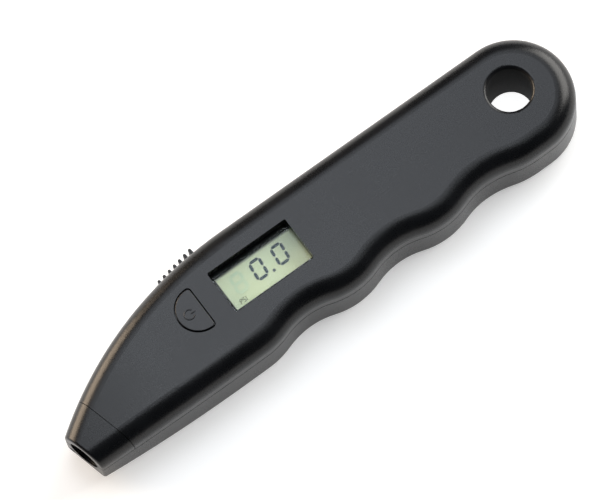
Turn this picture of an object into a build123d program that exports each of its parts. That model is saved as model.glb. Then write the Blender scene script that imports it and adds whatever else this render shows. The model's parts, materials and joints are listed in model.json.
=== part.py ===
"""Digital tyre gauge: a hand-held pressure and tread-depth gauge, built as an assembly of separate pieces.

Row frame, millimetres: the origin is on the axis of the hanging hole, at the face that the gauge rests on.
+X runs along the gauge from the nose towards the butt, +Y towards its straight back edge, and +Z up through
the display. The nose is turned a little towards the finger side, and the tread probe slides parallel to it.
"""
from build123d import *
import math
import os

# ---------------------------------------------------------------- casing
THICK = 19.0                      # rest face to display face
WALL = 2.0
PARTING_Z = 11.2                  # the deep lower shell meets the shallow upper one here
PARTING_GROOVE = 0.3
TOP_ROUND = 5.4
FOOT_ROUND = 1.4
HOLE_R = 6.0                      # hanging hole
HOLE_RIM = (0.5, 1.0)             # at the rest face and at the display face
HOLE_BOSS_R = HOLE_R + 2.2
BACK_Y = 15.25                    # the straight back edge
BUTT_R = 16.6
BUTT_CENTRE = (0.0, BACK_Y - BUTT_R)
BACK_ARC_START = (-83.3, BACK_Y)  # where the back edge starts to curve in to the nose
NOSE_MID = (-146.68, -12.25)      # middle of the nose's end face
NOSE_WIDTH = 13.0
NOSE_TURN = 14.5                  # degrees between the nose's axis and the gauge's length
WAVE_STATIONS = [4.0, 20.0, 34.5, 49.0, 63.5, 78.0, 93.0]   # crest, groove, crest ... along the finger side
WAVE_DEPTH = 2.5
FINGER_SLOPE = 0.65               # degrees that the finger side spreads towards the nose
NOSE_EDGE = 0.8
FOOT_ARC_X = -104.0               # the underside starts to rise here
FOOT_RISE = 4.8
ROOF_ARC_X = -112.0               # the display face starts to fall here
ROOF_FALL = 1.8
LIP_HEIGHT = 1.2                  # the lower shell's lip stands up inside the upper shell
LIP_ROOT = 1.4
LIP_THICK = 0.8
LIP_GAP = 0.1

# ---------------------------------------------------------------- nose and its air passage
NOSE_Z = 11.0
COVER_LENGTH = 9.7                # nose face to the cover's seam
SEAM_GAP = 0.16
NOSE_SOLID = 13.0                 # the nose is moulded solid this far in
NOSE_LIP_R = 4.6                  # the casing's lip keeps the nozzle in
NOZZLE_R = 5.0
NOZZLE_FRONT = 0.6                # distances inward from the nose face
NOZZLE_SHOULDER = 12.0
NOZZLE_END = 13.4
SPIGOT_R = 3.0
PORT_R = 4.3                      # takes a tyre valve's 7.7 mm thread
PORT_DEPTH = 6.0
PORT_CHAMFER = 0.25
SEAL_THICK = 2.4
SEAL_R = 3.9
SEAL_HOLE_R = 1.5
RING_AT = 10.5                    # O-ring's middle
RING_SECTION_R = 0.55
PASSAGE_R = 1.2
PIN_R = 0.6
PIN_SPAN = (7.2, 12.0)
PIN_BLADE = (9.4, 11.4)
PIN_BLADE_THICK = 0.4
BARB_R = 1.9
BARB_END = 17.0
TUBE_R = 2.9
TUBE_SPAN = (13.8, 24.8)
SENSOR_PORT_START = 21.5
SENSOR_SPAN = (27.0, 35.0)
SENSOR_R = 4.0
SENSOR_RIM = 0.5
LEAD_END = 41.5
LEAD_PITCH = 1.27
LEAD_SIZE = 0.35
CRADLES = [(28.6, 29.8), (32.4, 33.6)]
CRADLE_HALF = 5.4
CRADLE_TOP = 8.6

# ---------------------------------------------------------------- display, circuit board and button
WINDOW = (25.1, 13.2)
WINDOW_CENTRE = (-80.75, -0.1)
WINDOW_CORNER = 0.5
LENS = (27.2, 15.3)
LENS_THICK = 1.0
WINDOW_RIM = 1.0                  # the roof is thickened round the window by this much
LCD = (27.6, 15.8)
LCD_THICK = 1.9
LCD_GLASS_STEP = 2.0              # the back glass is narrower than the front one
FRAME = (29.2, 17.4)
STRIP_WIDE = 1.4
BOARD_TOP = 11.9
BOARD_THICK = 1.2
BOARD_X = (-95.6, -27.0)
BOARD_Y = (-9.2, 8.6)
TONGUE_X = (-110.0, -95.0)
TONGUE_Y = (-5.4, 4.6)
BOSS_CLEARANCE = 0.4
CHIP_CENTRE = (-72.0, -2.5)
CHIP = (7.0, 7.0, 1.4)
CAPACITORS = [(-60.0, -6.5), (-55.0, -6.5), (-80.5, -6.5), (-86.0, -6.5)]
CAPACITOR = (3.2, 1.6, 1.2)
BUTTON_R = 6.35
BUTTON_CENTRE = (-100.5, 0.0)
BUTTON_FLAT_X = -99.3
BUTTON_CORNER = 1.0
BUTTON_GAP = 0.36
BUTTON_PROUD = 0.1
BUTTON_FLANGE = 1.0
FLANGE_Z = (THICK - 3.4, THICK - 2.1)
BUTTON_EDGE = 0.25
STEM_R = 1.6
STEM_BOTTOM = 13.1
SWITCH_CENTRE = (-102.9, 0.0)
SWITCH_BASE = (6.0, 6.0, 0.3)
DOME_R = 2.4
DOME_HEIGHT = 0.35

# ---------------------------------------------------------------- tread slide
SLIDE_ORIGIN = (-97.95, 14.26)    # middle of the thumb pad, on the back wall
SLIDE_TRAVEL = 10.0
PAD_HALF = 7.2
PAD_TILT = 6.8                    # degrees; the pad's face lies along the wall
PAD_FACE = 0.2
PAD_ROOT = 2.3
PAD_Z = (8.3, 12.7)
RIBS = 7
RIB_PITCH = 1.93
RIB_THICK = 0.85
RIB_PROUD = 1.4                   # the rib nearest the nose; each one behind it stands a little taller
RIB_GROWTH = 0.12
TRACK_Z = (8.0, 13.0)
TRACK_END = 0.4
TRACK_FLOOR = 2.5                 # distances inward from the slide origin
TRACK_BACK = 3.7
TRACK_SHELL = 1.0
SLIT_Z = (9.4, 11.6)
NECK_Z = (9.7, 11.3)
NECK_HALF = 2.5
LEG_IN = (4.0, 5.4)
LEG_HALF = 3.6
LEG_Z = (4.9, 11.5)
BLOCK_IN = (7.3, 10.5)
BLOCK_HALF = 5.0
BLOCK_Z = (3.4, 8.0)
ARM_TOP = 7.2
PROBE_R = 0.8
PROBE_BORE_R = 0.86
PROBE_IN = 8.9
PROBE_Z = 6.4
PROBE_BACK = -3.6
PROBE_REACH = 53.4                # slide origin to the probe's tip
PROBE_TIP = 0.3
BED_TOP = 3.1
RAILS = [((6.0, 7.0), 4.5), ((10.8, 11.8), 7.0)]       # inward limits and height
RAIL_X = (-6.5, 16.5)
WIPER_THICK = 0.25
WIPER_FINGERS = [8.0, 9.8]
WIPER_WIDE = 0.8
WIPER_HALF = 3.0
WIPER_POINTS = [(-2.5, 8.12), (1.0, 9.2), (2.6, 10.4), (3.6, 10.0)]       # along the slide, and height

# ---------------------------------------------------------------- power
CELL_CENTRE = (-40.0, -1.2)
CELL_R = 10.0
CELL_THICK = 3.2
CELL_Z = 3.7
CELL_STEP = 0.5
WELL_R = 12.3
WELL_WALL = 1.0
WELL_TOP = 6.9
WELL_RIBS = [60, 120, 240, 300]
WELL_RIB_HALF = 0.6
DOOR_R = 11.9
DOOR_GAP = 0.3
DOOR_Z = (0.15, 1.15)
LEDGE_Z = (1.25, 2.4)
PLUG_R = 10.3
LUG_R = 11.8
LUG_Z = (2.5, 3.4)
LUG_HALF_ANGLE = 16.0
NOTCH_HALF_ANGLE = 19.0
DOOR_TURN = 45.0                  # locked lugs stand this far from the notches
COIN_SLOT = (15.0, 1.6, 0.8)
PLUS_STRIP = 0.3
PLUS_HALF = 2.0
MINUS_POINTS = [(-29.0, 10.55), (-31.6, 10.55), (-37.0, 7.4), (-40.5, 7.03), (-42.5, 7.7)]
MINUS_HALF = 2.0
MINUS_THICK = 0.25

# ---------------------------------------------------------------- fasteners
SCREWS = [(-112.0, -13.0), (-62.0, 9.9), (-63.0, -12.6), (-15.0, 8.6), (-14.0, -9.4)]
SCREW_BOSS_R = 2.8
SCREW_R = 1.2
SCREW_HOLE_R = 1.35
SCREW_TOP = 15.0
HEAD_R = 2.3
HEAD_HOLE_R = 2.5
HEAD_SEAT_Z = 3.2
HEAD_THICK = 1.6
CROSS = (2.6, 0.6, 0.8)           # cross recess: length, width, depth
BOARD_SCREWS = [(-60.5, -1.5), (-29.5, 5.2)]
BOARD_POST_R = 2.2
BOARD_SCREW_R = 0.9
BOARD_SCREW_HOLE_R = 1.0
BOARD_SCREW_TOP = 14.6
BOARD_HEAD = (1.7, 1.0)

BOARD_BOTTOM = BOARD_TOP - BOARD_THICK
ROOF_IN = THICK - WALL
LENS_TOP = ROOF_IN - WINDOW_RIM
LCD_TOP = LENS_TOP - LENS_THICK
LCD_BOTTOM = LCD_TOP - LCD_THICK
TURN = math.radians(NOSE_TURN)
NOSE_HALF = (NOSE_WIDTH / 2 * math.sin(TURN), NOSE_WIDTH / 2 * math.cos(TURN))
NOSE_BACK = (NOSE_MID[0] - NOSE_HALF[0], NOSE_MID[1] + NOSE_HALF[1])
NOSE_FINGER = (NOSE_MID[0] + NOSE_HALF[0], NOSE_MID[1] - NOSE_HALF[1])
# local frames: NOSE has +X inward along the nose's axis; SLIDE has +X towards the nose and +Y into the gauge
NOSE = Plane(origin=(*NOSE_MID, 0), x_dir=(math.cos(TURN), math.sin(TURN), 0), z_dir=(0, 0, 1))
SLIDE = Plane(origin=(*SLIDE_ORIGIN, 0), x_dir=(-math.cos(TURN), -math.sin(TURN), 0), z_dir=(0, 0, 1))
SLIDE_TO_NOSE_SIDE = NOSE.to_local_coords(SLIDE.from_local_coords(Vector(0, PROBE_IN, 0))).Y


def block(x, y, z, frame=Plane.XY):
    """A box between limits, each a (low, high) pair, in a local frame."""
    size = [high - low for low, high in (x, y, z)]
    middle = [(low + high) / 2 for low, high in (x, y, z)]
    return frame * Pos(*middle) * Box(*size)


def post(centre, radius, z):
    """An upright cylinder between two heights."""
    return Pos(centre[0], centre[1], (z[0] + z[1]) / 2) * Cylinder(radius, z[1] - z[0])


def along_nose(radius, start, end, height=NOSE_Z, side=0.0):
    """A cylinder along the nose's axis, between two distances from the nose's end face."""
    turned = Rot(0, 90, 0) * Cylinder(radius, end - start)
    return NOSE * Pos((start + end) / 2, side, height) * turned


# ================================================================ casing
def finger_side():
    """The wavy finger side, as tangent arcs from the butt to the nose."""
    slope = math.radians(FINGER_SLOPE)
    heading = Vector(-math.cos(slope), -math.sin(slope))
    inward = Vector(-math.sin(slope), math.cos(slope))
    start = Vector(*BUTT_CENTRE) + Vector(BUTT_R * math.sin(slope), -BUTT_R * math.cos(slope))

    def place(distance, depth):
        return start + heading * distance + inward * depth

    edges = [Line(start, place(WAVE_STATIONS[0], 0))]
    for i, (near, far) in enumerate(zip(WAVE_STATIONS, WAVE_STATIONS[1:])):
        depth_near, depth_far = (0, WAVE_DEPTH) if i % 2 == 0 else (WAVE_DEPTH, 0)
        middle = place((near + far) / 2, WAVE_DEPTH / 2)
        first = TangentArc(place(near, depth_near), middle, tangent=heading)
        edges += [first, TangentArc(middle, place(far, depth_far), tangent=first % 1)]
    edges.append(TangentArc(place(WAVE_STATIONS[-1], 0), NOSE_FINGER, tangent=heading))
    return edges, start


def outline():
    """The casing seen from above: nose face, curved back, straight back, round butt and finger grooves."""
    finger, butt_end = finger_side()
    butt_start = (BUTT_CENTRE[0], BACK_Y)
    edges = [
        Line(NOSE_FINGER, NOSE_BACK),
        TangentArc(BACK_ARC_START, NOSE_BACK, tangent=(-1, 0)),
        Line(BACK_ARC_START, butt_start),
        ThreePointArc(butt_start, (BUTT_CENTRE[0] + BUTT_R, BUTT_CENTRE[1]), butt_end),
        *finger,
    ]
    return make_face(edges)


def side_profile(inset):
    """The casing seen from the side: level along the grip, then tapering to the nose above and below."""
    tip, tail = NOSE_BACK[0] - 1, BUTT_R + 1
    foot, roof = inset, THICK - inset
    edges = [
        Line((tail, foot), (FOOT_ARC_X, foot)),
        TangentArc((FOOT_ARC_X, foot), (tip, foot + FOOT_RISE), tangent=(-1, 0)),
        Line((tip, foot + FOOT_RISE), (tip, roof - ROOF_FALL)),
        TangentArc((ROOF_ARC_X, roof), (tip, roof - ROOF_FALL), tangent=(-1, 0)),
        Line((ROOF_ARC_X, roof), (tail, roof)),
        Line((tail, roof), (tail, foot)),
    ]
    return extrude(Plane.XZ * make_face(edges), amount=3 * BUTT_R, both=True)


def casing(inset=0.0):
    """The casing as a solid, or the same shape drawn in by a wall's thickness."""
    plan = outline()
    if inset:
        plan = offset(plan, amount=-inset)
    solid = extrude(plan, amount=THICK) & side_profile(inset)
    if isinstance(solid, ShapeList):
        solid = solid[0]

    def runs_along(edge):
        straight_across = edge.geom_type == GeomType.LINE and abs((edge % 0.5).X) < 0.5
        return not straight_across and abs((edge % 0.5).Z) < 0.5

    def across(edge):
        """True for the short joins between a level face and its taper, and for the nose face's edges."""
        return abs(edge.bounding_box().size.X) < 6 and edge.bounding_box().size.Y > 9 and edge.length < 40

    level = [e for e in solid.edges() if runs_along(e) and not across(e)]
    roof = [e for e in level if e.center().Z > THICK - inset - ROOF_FALL - 1]
    foot = [e for e in level if e.center().Z < inset + FOOT_RISE + 1]
    solid = fillet(roof, TOP_ROUND - inset)
    foot = [e for e in solid.edges() if any((e.center() - f.center()).length < 0.01 for f in foot)]
    solid = fillet(foot, max(FOOT_ROUND - inset, 0.5))
    if inset:
        return solid
    inward = NOSE.x_dir
    nose_face = min(solid.faces(), key=lambda face: (face.center() - Vector(*NOSE_MID)).dot(inward))
    return fillet(nose_face.edges(), NOSE_EDGE)


def ring_between(outer, inner, z):
    """An upright wall that follows the casing's plan, between two insets and two heights."""
    plan = offset(outline(), amount=-outer) - offset(outline(), amount=-inner)
    return Pos(0, 0, z[0]) * extrude(plan, amount=z[1] - z[0])


def lip():
    """The lower shell's lip: a thin wall that stands up inside the upper shell."""
    inner = WALL + LIP_GAP + LIP_THICK
    ring = ring_between(WALL / 2, inner, (PARTING_Z - LIP_ROOT, PARTING_Z))
    ring += ring_between(WALL + LIP_GAP, inner, (PARTING_Z - LIP_ROOT, PARTING_Z + LIP_HEIGHT))
    ring -= block((-NOSE_SOLID, NOSE_SOLID + LIP_GAP), (-THICK, THICK), (PARTING_Z, THICK), NOSE)
    for place in SCREWS:
        ring -= post(place, SCREW_BOSS_R + LIP_GAP, (PARTING_Z, THICK))
    across = (-TRACK_BACK, TRACK_BACK + LIP_GAP)
    return ring - block(track_length(TRACK_SHELL + LIP_GAP), across, (PARTING_Z, THICK), SLIDE)


def track_length(margin):
    """Limits along the slide that clear the thumb pad over its travel by a margin."""
    return -PAD_HALF - TRACK_END - margin, PAD_HALF + SLIDE_TRAVEL + TRACK_END + margin


def slab(low, high):
    """Everything between two heights."""
    return block((-4 * THICK - 100, 4 * THICK), (-3 * THICK, 3 * THICK), (low, high))


def track_space():
    """The room for the thumb pad and its neck, in both shells."""
    slit = (-LEG_HALF - TRACK_END, LEG_HALF + SLIDE_TRAVEL + TRACK_END)
    room = block(track_length(0), (-2 * TRACK_BACK, TRACK_FLOOR), TRACK_Z, SLIDE)
    return room + block(slit, (0, 2 * TRACK_BACK), SLIT_Z, SLIDE)


def track_wall():
    """The thickening that backs the track."""
    height = (TRACK_Z[0] - TRACK_SHELL, TRACK_Z[1] + TRACK_SHELL)
    return block(track_length(TRACK_SHELL), (-TRACK_BACK, TRACK_BACK), height, SLIDE) & casing()


def slide_bed():
    """The bed and its two rails under the carriage."""
    bed = block(RAIL_X, (RAILS[0][0][0], RAILS[1][0][1]), (0, BED_TOP), SLIDE)
    for inward, height in RAILS:
        bed += block(RAIL_X, inward, (0, height), SLIDE)
    return bed & casing()


def cradles():
    """Two saddles that carry the pressure sensor and leave room for the probe."""
    saddles = Part()
    for span in CRADLES:
        saddles += block(span, (-CRADLE_HALF, CRADLE_HALF), (0, CRADLE_TOP), NOSE)
    side = SLIDE_TO_NOSE_SIDE
    saddles -= along_nose(SENSOR_R, 0, NOSE_SOLID * 3)
    saddles -= along_nose(2 * PROBE_R, 0, NOSE_SOLID * 3, PROBE_Z, side)
    return saddles & casing()


def cell_well():
    """The ring that holds the coin cell, with four locating ribs, above the door's ledge."""
    ring = post(CELL_CENTRE, WELL_R + WELL_WALL, (0, WELL_TOP))
    ring -= post(CELL_CENTRE, WELL_R, (LEDGE_Z[1], THICK))
    rib_reach = (CELL_R + LIP_GAP, WELL_R + WELL_WALL / 2)
    rib = block(rib_reach, (-WELL_RIB_HALF, WELL_RIB_HALF), (CELL_Z, WELL_TOP))
    for angle in WELL_RIBS:
        ring += Pos(*CELL_CENTRE) * Rot(0, 0, angle) * rib
    return ring & casing()


def sector(radius, angle, half_angle, z):
    """A pie slice about the cell's axis."""
    reach = 2 * radius
    a, b = (math.radians(angle + side * half_angle) for side in (-1, 1))
    corners = [(0, 0), (reach * math.cos(a), reach * math.sin(a)), (reach * math.cos(b), reach * math.sin(b))]
    wedge = extrude(make_face(Polyline(*corners, close=True)), amount=z[1] - z[0])
    return Pos(*CELL_CENTRE, z[0]) * wedge & post(CELL_CENTRE, radius, z)


def door_opening():
    """The door's recess, its ledge's bore and the two notches its lugs enter by."""
    opening = post(CELL_CENTRE, DOOR_R + DOOR_GAP, (-1, LEDGE_Z[0]))
    opening += post(CELL_CENTRE, PLUG_R + DOOR_GAP, (-1, LEDGE_Z[1] + 1))
    for angle in (0, 180):
        opening += sector(DOOR_R + DOOR_GAP, angle, NOTCH_HALF_ANGLE, (LEDGE_Z[0], LEDGE_Z[1] + 1))
    return opening


def nose_bore():
    """The nozzle's chamber through the nose block, closed down to a lip in front and a shoulder behind."""
    chamber = along_nose(NOSE_LIP_R, -1, NOZZLE_FRONT)
    chamber += along_nose(NOZZLE_R, NOZZLE_FRONT, NOZZLE_SHOULDER)
    chamber += along_nose(SPIGOT_R, NOZZLE_SHOULDER, NOSE_SOLID + 1)
    chamber += along_nose(PROBE_BORE_R, -1, NOSE_SOLID + 1, PROBE_Z, SLIDE_TO_NOSE_SIDE)
    return chamber


def rim_rounds(z, radius):
    """The ring that rounds the hanging hole's rim at one face."""
    inner = z + radius if z == 0 else z - radius
    ring = post((0, 0), HOLE_R + radius, (min(z, inner), max(z, inner)))
    ring -= post((0, 0), HOLE_R - 1, (-1, THICK + 1))
    return ring - Pos(0, 0, inner) * Torus(HOLE_R + radius, radius)


def hull():
    """The hollow casing: walls, the solid nose and the tube round the hanging hole."""
    outer = casing()
    room = casing(WALL) - block((-NOSE_SOLID, NOSE_SOLID), (-THICK, THICK), (-1, THICK + 1), NOSE)
    body = outer - room
    body += post((0, 0), HOLE_BOSS_R, (0, THICK)) & outer
    body += track_wall()
    body -= post((0, 0), HOLE_R, (-1, THICK + 1))
    for z, radius in zip((0, THICK), HOLE_RIM):
        body -= rim_rounds(z, radius)
    return body - nose_bore() - track_space()


def window_opening():
    """The display window through the roof."""
    plan = Pos(*WINDOW_CENTRE) * RectangleRounded(*WINDOW, WINDOW_CORNER)
    return Pos(0, 0, LENS_TOP - 1) * extrude(plan, amount=THICK)


def button_plan(grow):
    """The button's D, grown or shrunk all round."""
    disc = Pos(*BUTTON_CENTRE) * Circle(BUTTON_R)
    cut = Pos(BUTTON_FLAT_X - BUTTON_R, 0) * Rectangle(2 * BUTTON_R, 4 * BUTTON_R)
    plan = disc & cut
    plan = fillet(plan.vertices(), BUTTON_CORNER)
    return offset(plan, amount=grow)


def screw_bosses(low, high, radius, places):
    """Pillars for screws, trimmed to the casing."""
    pillars = Part()
    for place in places:
        pillars += post(place, radius, (low, high))
    return pillars & casing(WALL / 2)


def lower_shell():
    shell = hull() & slab(-1, PARTING_Z)
    shell += lip() - track_space() - nose_bore()
    shell += slide_bed() + cradles() + cell_well()
    shell += screw_bosses(0, PARTING_Z, SCREW_BOSS_R, SCREWS)
    shell -= ring_between(-1, PARTING_GROOVE, (PARTING_Z - PARTING_GROOVE, PARTING_Z))
    shell -= door_opening()
    for place in SCREWS:
        shell -= post(place, SCREW_HOLE_R, (-1, THICK))
        shell -= post(place, HEAD_HOLE_R, (-1, HEAD_SEAT_Z))
    return shell


def upper_half():
    """The upper half of the casing, before the nose cover is parted from it."""
    shell = hull() & slab(PARTING_Z, THICK + 1)
    shell += screw_bosses(PARTING_Z + LIP_GAP, THICK, SCREW_BOSS_R, SCREWS)
    shell += screw_bosses(BOARD_TOP, THICK, BOARD_POST_R, BOARD_SCREWS)
    for place in SCREWS:
        shell -= post(place, SCREW_R, (0, SCREW_TOP))
    for place in BOARD_SCREWS:
        shell -= post(place, BOARD_SCREW_R, (0, BOARD_SCREW_TOP))
    shell += centred(FRAME, (LENS_TOP, ROOF_IN + WALL / 2))
    shell -= window_opening()
    opening = extrude(button_plan(BUTTON_GAP / 2), amount=WALL + 2)
    return shell - Pos(0, 0, ROOF_IN - 1) * opening


def upper_shell(half):
    behind = block((COVER_LENGTH + SEAM_GAP / 2, 12 * THICK), (-6 * THICK, 6 * THICK), (0, 2 * THICK), NOSE)
    return half & behind


def nose_cover(half):
    return half & block((-THICK, COVER_LENGTH - SEAM_GAP / 2), (-THICK, THICK), (0, 2 * THICK), NOSE)


# ================================================================ nose and air passage
def valve_nozzle():
    body = along_nose(NOZZLE_R, NOZZLE_FRONT, NOZZLE_SHOULDER)
    body += along_nose(SPIGOT_R, NOZZLE_SHOULDER, NOZZLE_END)
    body += along_nose(BARB_R, NOZZLE_END, BARB_END)
    body -= along_nose(PORT_R, NOZZLE_FRONT - 1, NOZZLE_FRONT + PORT_DEPTH)
    body -= along_nose(SEAL_R, NOZZLE_FRONT, NOZZLE_FRONT + PORT_DEPTH + SEAL_THICK)
    body -= along_nose(PASSAGE_R, 0, BARB_END + 1)
    groove = along_nose(NOZZLE_R + 1, RING_AT - RING_SECTION_R, RING_AT + RING_SECTION_R)
    groove -= along_nose(NOZZLE_R - 2 * RING_SECTION_R, 0, BARB_END)
    return body - groove


def nozzle_ring():
    ring = Rot(0, 90, 0) * Torus(NOZZLE_R - RING_SECTION_R, RING_SECTION_R)
    return NOSE * Pos(RING_AT, 0, NOSE_Z) * ring


def nozzle_seal():
    start = NOZZLE_FRONT + PORT_DEPTH
    end = start + SEAL_THICK
    return along_nose(SEAL_R, start, end) - along_nose(SEAL_HOLE_R, start - 1, end + 1)


def valve_pin():
    pin = along_nose(PIN_R, *PIN_SPAN)
    half = PIN_BLADE_THICK / 2
    blades = block(PIN_BLADE, (-half, half), (NOSE_Z - PASSAGE_R, NOSE_Z + PASSAGE_R), NOSE)
    blades += block(PIN_BLADE, (-PASSAGE_R, PASSAGE_R), (NOSE_Z - half, NOSE_Z + half), NOSE)
    return pin + (blades & along_nose(PASSAGE_R, *PIN_BLADE))


def air_tube():
    return along_nose(TUBE_R, *TUBE_SPAN) - along_nose(BARB_R, 0, SENSOR_SPAN[1])


def pressure_sensor():
    can = along_nose(SENSOR_R, *SENSOR_SPAN)
    can = chamfer(can.edges().filter_by(GeomType.CIRCLE), SENSOR_RIM)
    can += along_nose(BARB_R, SENSOR_PORT_START, SENSOR_SPAN[0] + 1)
    return can - along_nose(PASSAGE_R, 0, SENSOR_SPAN[0] + 2)


def sensor_leads():
    leads = Part()
    for i in range(4):
        side = (i - 1.5) * LEAD_PITCH
        limits = (side - LEAD_SIZE / 2, side + LEAD_SIZE / 2)
        leads += block((SENSOR_SPAN[1], LEAD_END), limits, (BOARD_BOTTOM - LEAD_SIZE, BOARD_BOTTOM), NOSE)
    return leads


# ================================================================ display, board and button
def centred(size, z):
    """A plate centred on the display window, between two heights."""
    x, y = WINDOW_CENTRE
    return block((x - size[0] / 2, x + size[0] / 2), (y - size[1] / 2, y + size[1] / 2), z)


def window_lens():
    return centred(LENS, (LCD_TOP, LENS_TOP))


def lcd_panel():
    middle = LCD_BOTTOM + LCD_THICK / 2
    back = centred((LCD[0], LCD[1] - LCD_GLASS_STEP), (LCD_BOTTOM, middle))
    return back + centred(LCD, (middle, LCD_TOP))


def display_frame():
    return centred(FRAME, (BOARD_TOP, LCD_TOP)) - centred(LCD, (0, THICK))


def contact_strip(side):
    """A conducting rubber strip between the board and the glass, on one long side of the display."""
    x, y = WINDOW_CENTRE
    middle = y + side * (LCD[1] - LCD_GLASS_STEP - STRIP_WIDE) / 2
    across = (middle - STRIP_WIDE / 2, middle + STRIP_WIDE / 2)
    return block((x - LCD[0] / 2 + 1, x + LCD[0] / 2 - 1), across, (BOARD_TOP, LCD_BOTTOM))


def circuit_board():
    height = (BOARD_BOTTOM, BOARD_TOP)
    board = block(BOARD_X, BOARD_Y, height) + block(TONGUE_X, TONGUE_Y, height)
    for place in SCREWS:
        board -= post(place, SCREW_BOSS_R + BOSS_CLEARANCE, (0, THICK))
    for place in BOARD_SCREWS:
        board -= post(place, BOARD_SCREW_HOLE_R, (0, THICK))
    return board


def under_board(place, size):
    """A box-shaped part soldered to the board's underside."""
    return Pos(*place, BOARD_BOTTOM - size[2] / 2) * Box(*size)


def board_capacitors():
    return [under_board(place, CAPACITOR) for place in CAPACITORS]


def power_button():
    top = THICK + BUTTON_PROUD
    cap = Pos(0, 0, FLANGE_Z[0]) * extrude(button_plan(-BUTTON_GAP / 2), amount=top - FLANGE_Z[0])
    cap = fillet(cap.faces().sort_by(Axis.Z)[-1].edges(), BUTTON_EDGE)
    cap += Pos(0, 0, FLANGE_Z[0]) * extrude(button_plan(BUTTON_FLANGE), amount=FLANGE_Z[1] - FLANGE_Z[0])
    return cap + post(SWITCH_CENTRE, STEM_R, (STEM_BOTTOM, FLANGE_Z[0] + 0.1))


def dome_switch():
    x, y = SWITCH_CENTRE
    wide, deep, high = SWITCH_BASE
    base = block((x - wide / 2, x + wide / 2), (y - deep / 2, y + deep / 2), (BOARD_TOP, BOARD_TOP + high))
    ball_r = (DOME_R**2 + DOME_HEIGHT**2) / (2 * DOME_HEIGHT)
    ball = Pos(x, y, BOARD_TOP + high + DOME_HEIGHT - ball_r) * Sphere(ball_r)
    return base + (ball & post((x, y), DOME_R, (BOARD_TOP + high / 2, THICK)))


# ================================================================ tread slide
def thumb_slide():
    tilt = math.tan(math.radians(PAD_TILT))
    far, near = PAD_FACE - PAD_HALF * tilt, PAD_FACE + PAD_HALF * tilt
    corners = [(-PAD_HALF, near), (PAD_HALF, far), (PAD_HALF, PAD_ROOT), (-PAD_HALF, PAD_ROOT)]
    plan = make_face(Polyline(*corners, close=True))
    pad = SLIDE * Pos(0, 0, PAD_Z[0]) * extrude(plan, amount=PAD_Z[1] - PAD_Z[0])
    pad += block((-NECK_HALF, NECK_HALF), (PAD_ROOT - 0.5, LEG_IN[1]), NECK_Z, SLIDE)
    face = SLIDE * Pos(0, PAD_FACE, 0) * Rot(0, 0, -PAD_TILT)
    for i in range(RIBS):
        along = (i - (RIBS - 1) / 2) * RIB_PITCH
        reach = RIB_PROUD + (RIBS - 1 - i) * RIB_GROWTH - RIB_THICK / 2
        limits = (along - RIB_THICK / 2, along + RIB_THICK / 2)
        fin = block(limits, (-reach, RIB_THICK), PAD_Z)
        pad += face * (fin + post((along, -reach), RIB_THICK / 2, PAD_Z))
    return pad


def slide_carriage():
    leg = block((-LEG_HALF, LEG_HALF), LEG_IN, LEG_Z, SLIDE)
    arm = block((-LEG_HALF, LEG_HALF), (LEG_IN[0], BLOCK_IN[1]), (LEG_Z[0], ARM_TOP), SLIDE)
    shoe = block((-BLOCK_HALF, BLOCK_HALF), BLOCK_IN, BLOCK_Z, SLIDE)
    body = leg + arm + shoe
    body -= block((-NECK_HALF, NECK_HALF), (0, BLOCK_IN[0]), NECK_Z, SLIDE)
    return body - probe_rod(PROBE_BACK, PROBE_REACH)


def probe_rod(start, end, radius=PROBE_R):
    turned = Rot(0, 90, 0) * Cylinder(radius, end - start)
    return SLIDE * Pos((start + end) / 2, PROBE_IN, PROBE_Z) * turned


def tread_probe():
    rod = probe_rod(PROBE_BACK, PROBE_REACH)
    return chamfer(rod.edges().filter_by(GeomType.CIRCLE).sort_by(Axis.X)[0], PROBE_TIP)


def position_wiper():
    """A sprung strip on the carriage with two fingers that run on the board's underside."""
    low, reach = BLOCK_Z[1], WIPER_WIDE / 2
    across = (WIPER_FINGERS[0] - reach, WIPER_FINGERS[1] + reach)
    wiper = block((-WIPER_HALF, WIPER_HALF), across, (low, low + WIPER_THICK), SLIDE)
    for middle in WIPER_FINGERS:
        wiper += ribbon(WIPER_POINTS, (middle - reach, middle + reach), WIPER_THICK, SLIDE)
    return wiper


def ribbon(points, across, thick, frame=Plane.XY):
    """A thin bent strip through points in a local XZ plane, of a given width."""
    strip = Part()
    middle, wide = (across[0] + across[1]) / 2, across[1] - across[0]
    for (x0, z0), (x1, z1) in zip(points, points[1:]):
        length = math.hypot(x1 - x0, z1 - z0)
        angle = math.degrees(math.atan2(z1 - z0, x1 - x0))
        strip += Pos((x0 + x1) / 2, middle, (z0 + z1) / 2) * Rot(0, -angle, 0) * Box(length, wide, thick)
    for x, z in points:
        strip += Pos(x, middle, z) * Rot(90, 0, 0) * Cylinder(thick / 2, wide)
    return frame * strip


# ================================================================ power
def coin_cell():
    can = post(CELL_CENTRE, CELL_R, (CELL_Z, CELL_Z + CELL_THICK - CELL_STEP))
    can = chamfer(can.edges().filter_by(GeomType.CIRCLE).sort_by(Axis.Z)[0], CELL_STEP / 2)
    return can + post(CELL_CENTRE, CELL_R - 2 * CELL_STEP, (CELL_Z + 1, CELL_Z + CELL_THICK))


def battery_door():
    door = post(CELL_CENTRE, DOOR_R, DOOR_Z) + post(CELL_CENTRE, PLUG_R, (DOOR_Z[0], LUG_Z[1]))
    for angle in (0, 180):
        door += sector(LUG_R, angle + DOOR_TURN, LUG_HALF_ANGLE, LUG_Z)
    x, y = CELL_CENTRE
    length, width, depth = COIN_SLOT
    slot = Pos(x, y, DOOR_Z[0]) * SlotOverall(length, width)
    return door - extrude(slot, amount=depth)


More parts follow.
